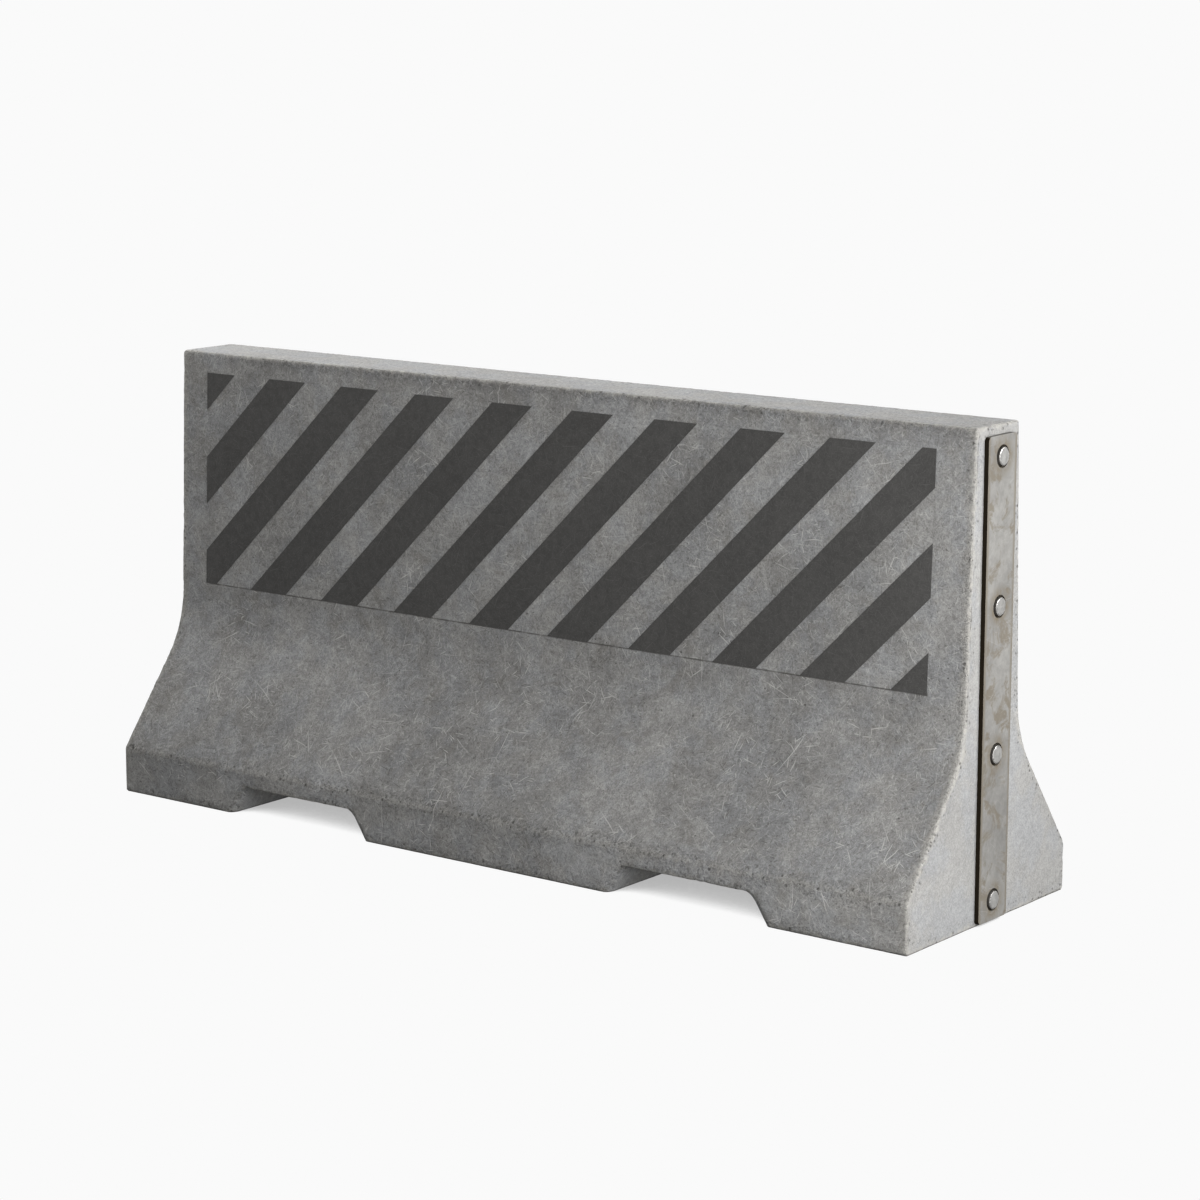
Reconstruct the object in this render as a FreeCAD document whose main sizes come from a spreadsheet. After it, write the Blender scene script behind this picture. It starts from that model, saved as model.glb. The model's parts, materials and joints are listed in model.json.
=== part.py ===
"""Precast concrete safety barrier element (New Jersey profile) with bolted steel end plates.

Frame: millimetres, +Z up, +X along the barrier, +Y across the road.
The origin is the centre of the resting face, on the ground.
"""
import FreeCAD, Part
import math
import os
import Sketcher
from FreeCAD import Placement, Rotation, Vector

# ---------------------------------------------------------------- driving dimensions

DIMENSIONS = {
    # concrete element
    "body_length": 2124,
    "body_height": 1000,
    "base_width": 600,
    "top_width": 160,
    "foot_height": 103,
    "knee_height": 364,
    "knee_width": 209,
    "knee_radius": 250,
    "foot_edge_radius": 16,
    "top_edge_radius": 7,
    "end_edge_radius": 6,
    # fork and drain slots through the foot
    "slot_spacing": 1062,
    "slot_bottom_width": 387,
    "slot_top_width": 305,
    "slot_height": 64,
    "slot_lip_radius": 22,
    # steel plate on each end face
    "plate_width": 105,
    "plate_height": 974,
    "plate_thickness": 10,
    "plate_ground_gap": 6,
    "plate_corner_radius": 9,
    "plate_edge_radius": 1,
    # shear-off round-head bolts and their cast-in sockets
    "bolt_count": 4,
    "bolt_margin": 42,
    "bolt_diameter": 16,
    "bolt_hole_diameter": 18,
    "spotface_diameter": 46,
    "spotface_depth": 3,
    "head_diameter": 38,
    "head_height": 8,
    "head_rim_radius": 3.5,
    "head_dome_rise": 1.2,
    "bolt_reach": 50,
    "socket_diameter": 22,
    "socket_length": 85,
    "socket_thread_depth": 55,
    "tail_diameter": 12,
    "tail_grip": 25,
    "tail_length": 190,
    "tail_wave": 7,
    "tail_bend_radius": 20,
    # reinforcement cage
    "concrete_cover": 35,
    "bar_diameter": 12,
    "link_diameter": 8,
    "link_bend_radius": 20,
    "link_count": 10,
    "link_spacing": 200,
    "link_stagger": 10,
    "tie_gap": 1,
    "corner_inset": 14,
    "foot_corner_inset": 16,
    "upper_bar_height": 760,
    "lower_bar_height": 520,
    "knee_bar_height": 330,
    "shoulder_bar_height": 262,
    "base_link_top": 300,
    # plastic wheel spacers on the cage
    "spacer_width": 12,
    "spacer_bore": 9,
    "spacer_hole": 14,
    "spacer_hole_circle": 48,
    "spacer_hole_count": 6,
    "stem_spacer_height": 640,
    "stem_spacer_count": 4,
    "base_spacer_offset": 150,
    "form_clearance": 1,
    # painted hazard band on both upper walls
    "stripe_left_margin": 80,
    "stripe_right_margin": 90,
    "stripe_top": 47,
    "stripe_bottom": 533,
    "stripe_corner": 85,
    "stripe_gap_count": 11,
    "paint_thickness": 0.5,
}

doc = FreeCAD.newDocument("jersey_barrier")
sheet = doc.addObject("Spreadsheet::Sheet", "dims")
for row, (alias, size) in enumerate(DIMENSIONS.items(), start=1):
    sheet.set(f"A{row}", alias.replace("_", " "))
    sheet.set(f"B{row}", str(size))
    sheet.setAlias(f"B{row}", alias)
doc.recompute()

# two lengths closer than this, in millimetres, are the same length
CLOSE = 1e-6

# ---------------------------------------------------------------- expressions shared by the parts

WALL_LEAN = "((dims.knee_width - dims.top_width) / 2 / (dims.body_height - dims.knee_height))"
SLOPE_RUN = "((dims.base_width - dims.knee_width) / 2)"
SLOPE_RISE = "(dims.knee_height - dims.foot_height)"
SLOPE_LENGTH = f"sqrt({SLOPE_RUN} ^ 2 + {SLOPE_RISE} ^ 2)"
LINK_COVER = "(dims.concrete_cover + dims.link_diameter / 2)"
LINK_TO_BAR = "((dims.link_diameter + dims.bar_diameter) / 2 + dims.tie_gap)"
LINK_TOP = f"(dims.body_height - {LINK_COVER})"
BASE_LINK_BOTTOM = f"(dims.slot_height + {LINK_COVER})"
BAR_LENGTH = "(dims.body_length - 2 * dims.concrete_cover)"
END_FACE = "(dims.body_length / 2)"
PLATE_FRONT = f"({END_FACE} + dims.plate_thickness)"
FIRST_BOLT = "(dims.plate_ground_gap + dims.bolt_margin)"
BOLT_SPAN = "(dims.plate_height - 2 * dims.bolt_margin)"
LINK_SPAN = "(dims.link_spacing * (dims.link_count - 1))"
FIRST_LINK = f"(-{LINK_SPAN} / 2)"
STRIPE_LENGTH = "(dims.body_length - dims.stripe_left_margin - dims.stripe_right_margin)"
STRIPE_DEPTH = "(dims.stripe_bottom - dims.stripe_top)"
STRIPE_GAP = (f"(({STRIPE_LENGTH} + {STRIPE_DEPTH} - 2 * dims.stripe_corner)"
              " / (2 * dims.stripe_gap_count - 1))")


def wall_leg(height):
    """Half distance between the link legs that follow the upper walls, at a height."""
    return (f"(dims.top_width / 2 - {LINK_COVER}"
            f" + (dims.body_height - {height}) * {WALL_LEAN})")


def slope_leg(height, depth):
    """Half distance between two lines a depth under the lower slopes, at a height."""
    return (f"(dims.base_width / 2 - ({height} - dims.foot_height) * {SLOPE_RUN} / {SLOPE_RISE}"
            f" - {depth} * {SLOPE_LENGTH} / {SLOPE_RISE})")


# ---------------------------------------------------------------- helpers

def new_body(label):
    body = doc.addObject("PartDesign::Body", label)
    body.Label = label
    body.AllowCompound = True
    return body


def turned(body):
    """Turns a sub-part half round the vertical axis, to the other end or side."""
    body.Placement = Placement(Vector(0, 0, 0), Rotation(Vector(0, 0, 1), 180))
    return body


def new_sketch(body, name, plane_role, distance="0"):
    """A sketch on an origin plane of the body, moved along the plane's normal."""
    sketch = body.newObject("Sketcher::SketchObject", name)
    plane = next(item for item in body.Origin.OriginFeatures if item.Role == plane_role)
    sketch.AttachmentSupport = [(plane, "")]
    sketch.MapMode = "FlatFace"
    sketch.setExpression("AttachmentOffset.Base.z", distance)
    return sketch


def constrain(sketch, kind, *arguments, to=None):
    """Adds a constraint, and drives it with an expression if one is given."""
    index = sketch.addConstraint(Sketcher.Constraint(kind, *arguments))
    if to is not None:
        sketch.setExpression(f"Constraints[{index}]", to)
    return index


def add_point(sketch, across, upward):
    """A construction point at driven coordinates."""
    point = sketch.addGeometry(Part.Point(Vector(1, 1, 0)), True)
    constrain(sketch, "DistanceX", point, 1, 1.0, to=across)
    constrain(sketch, "DistanceY", point, 1, 1.0, to=upward)
    return point


def add_circle(sketch, across, upward, diameter):
    circle = sketch.addGeometry(Part.Circle(Vector(1, 1, 0), Vector(0, 0, 1), 1.0), False)
    constrain(sketch, "DistanceX", circle, 3, 1.0, to=across)
    constrain(sketch, "DistanceY", circle, 3, 1.0, to=upward)
    constrain(sketch, "Diameter", circle, 2.0, to=diameter)
    return circle


def add_outline(sketch, corners, closed=True):
    """Straight lines between driven corners; a corner with a radius name is rounded.

    Each corner is (across expression, upward expression, radius alias or None).
    """
    points = [add_point(sketch, across, upward) for across, upward, radius in corners]
    doc.recompute()
    spots = [sketch.getPoint(point, 1) for point in points]
    count = len(corners)
    arrivals = []
    departures = []
    arcs = []
    for index, (across, upward, radius) in enumerate(corners):
        spot = spots[index]
        if radius is None:
            arrivals.append(spot)
            departures.append(spot)
            arcs.append(None)
            continue
        size = sheet.get(radius)
        back = (spots[index - 1] - spot).normalize()
        ahead = (spots[(index + 1) % count] - spot).normalize()
        half_angle = back.getAngle(ahead) / 2
        inward = (back + ahead).normalize()
        arrivals.append(spot + back * (size / math.tan(half_angle)))
        departures.append(spot + ahead * (size / math.tan(half_angle)))
        crown = spot + inward * (size / math.sin(half_angle) - size)
        arcs.append(sketch.addGeometry(Part.Arc(arrivals[-1], crown, departures[-1]), False))
    sides = []
    for index in range(count if closed else count - 1):
        side = Part.LineSegment(departures[index], arrivals[(index + 1) % count])
        sides.append(sketch.addGeometry(side, False))
    for index, (across, upward, radius) in enumerate(corners):
        before = sides[index - 1] if closed or index > 0 else None
        after = sides[index] if index < len(sides) else None
        if radius is None:
            if before is not None:
                constrain(sketch, "Coincident", before, 2, points[index], 1)
            if after is not None:
                constrain(sketch, "Coincident", after, 1, points[index], 1)
            continue
        arc = arcs[index]
        starts_here = sketch.getPoint(arc, 1).distanceToPoint(arrivals[index]) < CLOSE
        near, far = (1, 2) if starts_here else (2, 1)
        constrain(sketch, "Tangent", before, 2, arc, near)
        constrain(sketch, "Tangent", arc, far, after, 1)
        constrain(sketch, "PointOnObject", points[index], 1, before)
        constrain(sketch, "PointOnObject", points[index], 1, after)
        constrain(sketch, "Radius", arc, sheet.get(radius), to=f"dims.{radius}")


def pad(body, sketch, length, both_ways=False):
    feature = body.newObject("PartDesign::Pad", f"{sketch.Name}_pad")
    feature.Profile = sketch
    feature.setExpression("Length", length)
    feature.Midplane = both_ways
    doc.recompute()
    return feature


def pocket(body, sketch, depth=None, reverse=False, both_ways=False):
    """Cuts a sketch away, and stops if nothing was removed."""
    volume_before = body.Tip.Shape.Volume
    feature = body.newObject("PartDesign::Pocket", f"{sketch.Name}_pocket")
    feature.Profile = sketch
    if depth is None:
        feature.Type = "ThroughAll"
    else:
        feature.setExpression("Length", depth)
    feature.Reversed = reverse
    feature.Midplane = both_ways
    doc.recompute()
    if feature.Shape.Volume > volume_before - CLOSE:
        raise RuntimeError(f"{feature.Name} removed nothing")
    return feature


def revolve(body, sketch, axis):
    feature = body.newObject("PartDesign::Revolution", f"{sketch.Name}_revolution")
    feature.Profile = sketch
    feature.ReferenceAxis = (sketch, [axis])
    doc.recompute()
    return feature


def row_of(body, feature, sketch, axis, span, count, backwards=False):
    """Repeats a feature along an axis of its sketch; the span reaches from first to last."""
    pattern = body.newObject("PartDesign::LinearPattern", f"{feature.Name}_row")
    pattern.Originals = [feature]
    pattern.Direction = (sketch, [axis])
    pattern.Reversed = backwards
    pattern.setExpression("Length", span)
    pattern.setExpression("Occurrences", count)
    body.Tip = pattern
    doc.recompute()
    return pattern


def fillet(body, radius, wanted):
    """Rounds the edges of the body's tip that the wanted() test picks."""
    base = body.Tip
    names = [f"Edge{number}" for number, edge in enumerate(base.Shape.Edges, start=1)
             if wanted(edge)]
    feature = body.newObject("PartDesign::Fillet", f"{body.Name}_fillet")
    feature.Base = (base, names)
    feature.setExpression("Radius", radius)
    doc.recompute()
    return feature


def bar_along(body, path, diameter):
    """Sweeps a round bar along an open path sketch."""
    section = body.newObject("Sketcher::SketchObject", f"{path.Name}_section")
    section.AttachmentSupport = [(path, "Edge1")]
    section.MapMode = "NormalToEdge"
    section.MapPathParameter = 0
    add_circle(section, "0", "0", diameter)
    doc.recompute()
    sweep = body.newObject("PartDesign::AdditivePipe", f"{path.Name}_sweep")
    sweep.Profile = section
    sweep.Spine = path
    doc.recompute()
    return sweep


# ---------------------------------------------------------------- reinforcement cage

def straight_bars(label, places):
    """Straight bars along the barrier; places are (half spread, height) expressions."""
    body = new_body(label)
    sketch = new_sketch(body, f"{label}_sections", "YZ_Plane")
    for half_spread, height in places:
        for side in (-1, 1):
            add_circle(sketch, f"{side} * {half_spread}", height, "dims.bar_diameter")
    pad(body, sketch, BAR_LENGTH, both_ways=True)
    return body


def inside_wall(height):
    return f"({wall_leg(height)} - {LINK_TO_BAR})"


def make_straight_bars():
    top_height = f"({LINK_TOP} - dims.corner_inset)"
    top_spread = f"({wall_leg(top_height)} - dims.corner_inset)"
    foot_corner_height = f"({BASE_LINK_BOTTOM} + dims.foot_corner_inset)"
    foot_corner_spread = slope_leg(foot_corner_height, f"({LINK_COVER} + dims.foot_corner_inset)")
    foot_inner_height = f"({BASE_LINK_BOTTOM} + {LINK_TO_BAR})"
    shoulder_spread = slope_leg("dims.shoulder_bar_height", f"({LINK_COVER} + {LINK_TO_BAR})")
    return [
        straight_bars("top_bars", [(top_spread, top_height)]),
        straight_bars("upper_wall_bars",
                      [(inside_wall("dims.upper_bar_height"), "dims.upper_bar_height")]),
        straight_bars("lower_wall_bars",
                      [(inside_wall("dims.lower_bar_height"), "dims.lower_bar_height")]),
        straight_bars("knee_bars",
                      [(inside_wall("dims.knee_bar_height"), "dims.knee_bar_height")]),
        straight_bars("shoulder_bars", [(shoulder_spread, "dims.shoulder_bar_height")]),
        straight_bars("foot_corner_bars", [(foot_corner_spread, foot_corner_height)]),
        straight_bars("foot_inner_bars", [(inside_wall(foot_inner_height), foot_inner_height)]),
    ]


def make_links(label, corners, shift):
    """A row of bent links across the barrier, from one open path."""
    body = new_body(label)
    path = new_sketch(body, f"{label}_path", "YZ_Plane", f"{FIRST_LINK} + {shift}")
    add_outline(path, corners, closed=False)
    link = bar_along(body, path, "dims.link_diameter")
    row_of(body, link, path, "N_Axis", LINK_SPAN, "dims.link_count")
    return body


def make_stem_links():
    """Upside-down U links whose legs follow the upper walls down into the foot."""
    leg_end = f"({BASE_LINK_BOTTOM} - dims.link_diameter / 2)"
    corners = [
        (f"-{wall_leg(leg_end)}", leg_end, None),
        (f"-{wall_leg(LINK_TOP)}", LINK_TOP, "link_bend_radius"),
        (wall_leg(LINK_TOP), LINK_TOP, "link_bend_radius"),
        (wall_leg(leg_end), leg_end, None),
    ]
    return make_links("stem_links", corners, "0")


def make_base_links():
    """U links whose splayed legs follow the lower slopes."""
    top_spread = slope_leg("dims.base_link_top", LINK_COVER)
    bottom_spread = slope_leg(BASE_LINK_BOTTOM, LINK_COVER)
    corners = [
        (f"-{top_spread}", "dims.base_link_top", None),
        (f"-{bottom_spread}", BASE_LINK_BOTTOM, "link_bend_radius"),
        (bottom_spread, BASE_LINK_BOTTOM, "link_bend_radius"),
        (top_spread, "dims.base_link_top", None),
    ]
    return make_links("base_links", corners, "dims.link_stagger")


def add_spacer_wheel(sketch, across, upward):
    """A wheel outline: rim, bore for the link and a ring of holes the concrete runs through."""
    add_circle(sketch, across, upward, f"2 * ({LINK_COVER} - dims.form_clearance)")
    add_circle(sketch, across, upward, "dims.spacer_bore")
    hole_count = int(sheet.get("spacer_hole_count"))
    for number in range(hole_count):
        angle = f"{number} * 360 deg / dims.spacer_hole_count"
        add_circle(sketch,
                   f"{across} + dims.spacer_hole_circle / 2 * cos({angle})",
                   f"{upward} + dims.spacer_hole_circle / 2 * sin({angle})",
                   "dims.spacer_hole")


def make_stem_spacers():
    """Wheels on the legs of every third stem link, one row under each wall."""
    body = new_body("stem_spacers")
    height = "dims.stem_spacer_height"
    sketch = new_sketch(body, "stem_spacer_wheels", "XY_Plane", height)
    for side in (-1, 1):
        add_spacer_wheel(sketch, FIRST_LINK, f"{side} * {wall_leg(height)}")
    wheels = pad(body, sketch, "dims.spacer_width", both_ways=True)
    row_of(body, wheels, sketch, "H_Axis", LINK_SPAN, "dims.stem_spacer_count")
    return body


def make_base_spacers():
    """Wheels on the base links, holding them off the formers of the two slots."""
    body = new_body("base_spacers")
    sketch = new_sketch(body, "base_spacer_wheels", "XZ_Plane", "-dims.base_spacer_offset")
    link_over_slot = f"({FIRST_LINK} + 2 * dims.link_spacing)"
    for side in (-1, 1):
        across = f"({side} * {link_over_slot} + dims.link_stagger)"
        add_spacer_wheel(sketch, across, BASE_LINK_BOTTOM)
    wheels = pad(body, sketch, "dims.spacer_width", both_ways=True)
    row_of(body, wheels, sketch, "N_Axis", "2 * dims.base_spacer_offset", "2")
    return body


# ---------------------------------------------------------------- steel end plates and anchors

def drill_bolt_row(body, name, plane_distance, diameter, depth):
    """One round hole on the plate's centre line, repeated up the row of bolts."""
    sketch = new_sketch(body, name, "YZ_Plane", plane_distance)
    add_circle(sketch, "0", FIRST_BOLT, diameter)
    hole = pocket(body, sketch, depth)
    return row_of(body, hole, sketch, "V_Axis", BOLT_SPAN, "dims.bolt_count")


def make_end_plate(side):
    body = new_body(f"end_plate_{side}")
    outline = new_sketch(body, f"plate_outline_{side}", "YZ_Plane", END_FACE)
    top = "(dims.plate_ground_gap + dims.plate_height)"
    add_outline(outline, [
        ("-dims.plate_width / 2", "dims.plate_ground_gap", "plate_corner_radius"),
        ("dims.plate_width / 2", "dims.plate_ground_gap", "plate_corner_radius"),
        ("dims.plate_width / 2", top, "plate_corner_radius"),
        ("-dims.plate_width / 2", top, "plate_corner_radius"),
    ])
    pad(body, outline, "dims.plate_thickness")
    front_x = sheet.get("body_length") / 2 + sheet.get("plate_thickness")
    fillet(body, "dims.plate_edge_radius",
           lambda edge: min(vertex.X for vertex in edge.Vertexes) > front_x - CLOSE)
    drill_bolt_row(body, f"plate_spotface_{side}", PLATE_FRONT, "dims.spotface_diameter",
                   "dims.spotface_depth")
    drill_bolt_row(body, f"plate_hole_{side}", PLATE_FRONT, "dims.bolt_hole_diameter",
                   "dims.plate_thickness")
    return body


def make_plate_bolts(side):
    """Round-head bolts left smooth where the drive has sheared off."""
    body = new_body(f"plate_bolts_{side}")
    seat = f"({PLATE_FRONT} - dims.spotface_depth)"
    crown = f"({seat} + dims.head_height)"
    sketch = new_sketch(body, f"bolt_half_section_{side}", "XZ_Plane")
    shoulder = f"({crown} - dims.head_dome_rise)"
    add_outline(sketch, [
        (f"({END_FACE} - dims.bolt_reach)", FIRST_BOLT, None),
        (f"({END_FACE} - dims.bolt_reach)", f"{FIRST_BOLT} + dims.bolt_diameter / 2", None),
        (seat, f"{FIRST_BOLT} + dims.bolt_diameter / 2", None),
        (seat, f"{FIRST_BOLT} + dims.head_diameter / 2", None),
        (shoulder, f"{FIRST_BOLT} + dims.head_diameter / 2", "head_rim_radius"),
        (crown, FIRST_BOLT, None),
    ])
    axis = sketch.addGeometry(Part.LineSegment(Vector(0, 1, 0), Vector(1, 1, 0)), True)
    constrain(sketch, "Horizontal", axis)
    constrain(sketch, "DistanceX", axis, 1, 1.0, to=END_FACE)
    constrain(sketch, "DistanceY", axis, 1, 1.0, to=FIRST_BOLT)
    constrain(sketch, "DistanceX", axis, 2, 1.0, to=PLATE_FRONT)
    doc.recompute()
    bolt = revolve(body, sketch, f"Axis{axis_number(sketch, axis)}")
    row_of(body, bolt, sketch, "V_Axis", BOLT_SPAN, "dims.bolt_count")
    return body


def axis_number(sketch, geometry):
    """A sketch numbers its construction lines as Axis0, Axis1 and so on."""
    lines = []
    for index, shape in enumerate(sketch.Geometry):
        if sketch.getConstruction(index) and isinstance(shape, Part.LineSegment):
            lines.append(index)
    return lines.index(geometry)


def make_anchor_sockets(side):
    """Threaded sockets flush with the end face, with a rear hole that grips the tail bar."""
    body = new_body(f"anchor_sockets_{side}")
    face = new_sketch(body, f"socket_outline_{side}", "YZ_Plane", END_FACE)
    add_circle(face, "0", FIRST_BOLT, "dims.socket_diameter")
    tube = pad(body, face, "dims.socket_length")
    tube.Reversed = True
    doc.recompute()
    row_of(body, tube, face, "V_Axis", BOLT_SPAN, "dims.bolt_count")
    drill_bolt_row(body, f"socket_thread_{side}", END_FACE, "dims.bolt_diameter",
                   "dims.socket_thread_depth")
    drill_bolt_row(body, f"socket_grip_{side}",
                   f"({END_FACE} - dims.socket_length + dims.tail_grip)", "dims.tail_diameter",
                   "dims.tail_grip")
    return body


def make_anchor_tails(side):
    """Wavy bars held in the sockets, which tie the plate back into the concrete."""
    body = new_body(f"anchor_tails_{side}")
    path = new_sketch(body, f"tail_path_{side}", "XY_Plane", FIRST_BOLT)
    socket_end = f"({END_FACE} - dims.socket_length)"
    grip_end = f"({socket_end} + dims.tail_grip)"
    step = "(dims.tail_length / 5)"
    corners = [(grip_end, "0", None)]
    corners.append((f"{socket_end} - {step} / 2", "0", "tail_bend_radius"))
    for number, side_way in ((1, 1), (2, -1), (3, 1), (4, -1)):
        corners.append((f"{socket_end} - {number} * {step} - {step} / 4",
                        f"{side_way} * dims.tail_wave", "tail_bend_radius"))
    corners.append((f"{socket_end} - dims.tail_length", "0", None))
    add_outline(path, corners, closed=False)
    tail = bar_along(body, path, "dims.tail_diameter")
    row_of(body, tail, path, "N_Axis", BOLT_SPAN, "dims.bolt_count")
    return body


# ---------------------------------------------------------------- painted hazard band

def tilt_onto_wall(sketch):
    """Lays a sketch of the XZ plane on the upper wall, with its origin on the top edge."""
    sketch.AttachmentOffset = Placement(Vector(0, 0, 0), Rotation(Vector(1, 0, 0), -1))
    sketch.setExpression("AttachmentOffset.Base.y", "dims.body_height")
    sketch.setExpression("AttachmentOffset.Base.z", "dims.top_width / 2")
    sketch.setExpression("AttachmentOffset.Rotation.Angle", f"-atan({WALL_LEAN})")


def make_hazard_stripes(side):
    """Slanting stripes: a painted field with equal bare bands cut out of it."""
    body = new_body(f"hazard_stripes_{side}")
    field = new_sketch(body, f"stripe_field_{side}", "XZ_Plane")
    tilt_onto_wall(field)
    left = f"(dims.stripe_left_margin - {END_FACE})"
    right = f"({END_FACE} - dims.stripe_right_margin)"
    add_outline(field, [
        (left, "-dims.stripe_bottom", None),
        (right, "-dims.stripe_bottom", None),
        (right, "-dims.stripe_top", None),
        (left, "-dims.stripe_top", None),
    ])
    pad(body, field, "dims.paint_thickness")
    band = new_sketch(body, f"bare_band_{side}", "XZ_Plane")
    tilt_onto_wall(band)
    start = f"({left} + dims.stripe_corner)"
    above = f"-dims.stripe_top + {STRIPE_DEPTH}"
    below = f"-dims.stripe_top - 2 * {STRIPE_DEPTH}"
    add_outline(band, [
        (f"{start} - 2 * {STRIPE_DEPTH}", below, None),
        (f"{start} + {STRIPE_DEPTH}", above, None),
        (f"{start} + {STRIPE_GAP} + {STRIPE_DEPTH}", above, None),
        (f"{start} + {STRIPE_GAP} - 2 * {STRIPE_DEPTH}", below, None),
    ])
    gap = pocket(body, band, reverse=True)
    row_of(body, gap, band, "H_Axis", f"2 * {STRIPE_GAP} * (dims.stripe_gap_count - 1)",
           "dims.stripe_gap_count")
    return body


# ---------------------------------------------------------------- concrete

def section_corners():
    """The New Jersey section: vertical foot, flat slope, steep upper wall."""
    half = [
        ("dims.base_width / 2", "0", None),
        ("dims.base_width / 2", "dims.foot_height", "foot_edge_radius"),
        ("dims.knee_width / 2", "dims.knee_height", "knee_radius"),
        ("dims.top_width / 2", "dims.body_height", "top_edge_radius"),
    ]
    mirrored = [(f"-{across}", upward, radius) for across, upward, radius in reversed(half)]
    return half + mirrored


def make_concrete(embedded):
    body = new_body("concrete_casting")
    section = new_sketch(body, "barrier_section", "YZ_Plane")
    add_outline(section, section_corners())
    pad(body, section, "dims.body_length", both_ways=True)

    end_x = sheet.get("body_length") / 2
    fillet(body, "dims.end_edge_radius",
           lambda edge: min(abs(vertex.X) for vertex in edge.Vertexes) > end_x - CLOSE
           and max(vertex.Z for vertex in edge.Vertexes) > CLOSE)

    slots = new_sketch(body, "slot_outlines", "XZ_Plane")
    for side in (-1, 1):
        centre = f"{side} * dims.slot_spacing / 2"
        half_top = "dims.slot_top_width / 2"
        half_below = "(dims.slot_bottom_width - dims.slot_top_width / 2)"
        add_outline(slots, [
            (f"{centre} - {half_below}", "-dims.slot_height", None),
            (f"{centre} + {half_below}", "-dims.slot_height", None),
            (f"{centre} + {half_top}", "dims.slot_height", None),
            (f"{centre} - {half_top}", "dims.slot_height", None),
        ])
    pocket(body, slots, both_ways=True)

    foot_y = sheet.get("base_width") / 2
    slot_top = sheet.get("slot_height")

    def is_slot_lip(edge):
        on_foot_face = all(abs(abs(vertex.Y) - foot_y) < CLOSE for vertex in edge.Vertexes)
        heights = [vertex.Z for vertex in edge.Vertexes]
        rises = abs(min(heights)) < CLOSE and abs(max(heights) - slot_top) < CLOSE
        return on_foot_face and rises

    fillet(body, "dims.slot_lip_radius", is_slot_lip)

    drill_bolt_row(body, "socket_pocket_right", END_FACE, "dims.socket_diameter",
                   "dims.socket_length")
    left = new_sketch(body, "socket_pocket_left", "YZ_Plane", f"-{END_FACE}")
    add_circle(left, "0", FIRST_BOLT, "dims.socket_diameter")
    hole = pocket(body, left, "dims.socket_length", reverse=True)
    row_of(body, hole, left, "V_Axis", BOLT_SPAN, "dims.bolt_count")

    cage = doc.addObject("Part::Compound", "embedded_pieces")
    cage.Links = embedded
    concrete = doc.addObject("Part::Cut", "concrete_body")
    concrete.Label = "concrete_body"
    concrete.Base = body
    concrete.Tool = cage
    doc.recompute()
    return concrete


# ---------------------------------------------------------------- assembly

cage_parts = make_straight_bars() + [
    make_stem_links(),
    make_base_links(),
    make_stem_spacers(),
    make_base_spacers(),
]
end_parts = []
tails = []
for end in ("right", "left"):
    tail = make_anchor_tails(end)
    fittings = [
        make_end_plate(end),
        make_plate_bolts(end),
        make_anchor_sockets(end),
        tail,
    ]
    if end == "left":
        fittings = [turned(fitting) for fitting in fittings]
    end_parts += fittings
    tails.append(tail)
stripes = [make_hazard_stripes("front"), turned(make_hazard_stripes("back"))]
doc.recompute()
concrete = make_concrete(cage_parts + tails)

# ---------------------------------------------------------------- checks and export

doc.recompute()
for item in doc.Objects:
    if "Invalid" in item.State or "Error" in item.State:
        raise RuntimeError(f"{item.Name} failed: {item.State}")
nodes = [concrete] + stripes + end_parts + cage_parts
for node in nodes:
    if node.Shape.isNull() or not node.Shape.isValid():
        raise RuntimeError(f"{node.Label} has no valid shape")

os.makedirs("parts", exist_ok=True)
for node in nodes:
    node.Shape.exportStep(f"parts/{node.Label}.step")
    print(f"{node.Label}: {len(node.Shape.Solids)} solids, {node.Shape.Volume / 1000:.1f} cm3")
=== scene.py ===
"""Looks of the concrete barrier: worn cast concrete, painted stripes and bolted steel end plates.

Everything is in metres in the CAD frame: +X along the barrier, +Y across the road, +Z up.
"""

import json
import math
import random

import bpy
import numpy as np
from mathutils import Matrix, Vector, noise
from mathutils.bvhtree import BVHTree
from mathutils.kdtree import KDTree


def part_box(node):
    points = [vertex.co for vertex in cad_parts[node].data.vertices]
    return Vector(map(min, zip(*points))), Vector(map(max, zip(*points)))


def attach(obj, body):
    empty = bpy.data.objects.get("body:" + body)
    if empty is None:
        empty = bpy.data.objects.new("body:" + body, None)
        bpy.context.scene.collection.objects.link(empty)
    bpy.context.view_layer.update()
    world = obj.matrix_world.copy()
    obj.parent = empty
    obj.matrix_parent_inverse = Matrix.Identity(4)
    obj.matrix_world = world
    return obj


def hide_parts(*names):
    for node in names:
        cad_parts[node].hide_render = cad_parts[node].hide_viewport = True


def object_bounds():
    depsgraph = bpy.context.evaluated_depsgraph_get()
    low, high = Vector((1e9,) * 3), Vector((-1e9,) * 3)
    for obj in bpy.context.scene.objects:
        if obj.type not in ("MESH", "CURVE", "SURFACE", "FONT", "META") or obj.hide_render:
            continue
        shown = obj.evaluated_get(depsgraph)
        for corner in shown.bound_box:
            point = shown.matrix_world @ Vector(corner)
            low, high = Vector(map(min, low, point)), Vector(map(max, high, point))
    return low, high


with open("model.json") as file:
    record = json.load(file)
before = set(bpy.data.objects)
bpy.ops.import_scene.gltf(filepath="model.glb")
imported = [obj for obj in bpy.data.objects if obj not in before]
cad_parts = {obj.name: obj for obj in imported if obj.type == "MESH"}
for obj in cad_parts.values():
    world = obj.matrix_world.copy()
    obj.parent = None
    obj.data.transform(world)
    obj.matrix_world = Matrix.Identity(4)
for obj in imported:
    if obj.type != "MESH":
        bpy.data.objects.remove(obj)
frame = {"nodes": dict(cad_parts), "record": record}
nodes = frame["nodes"]
cad_low, cad_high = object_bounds()

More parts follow.
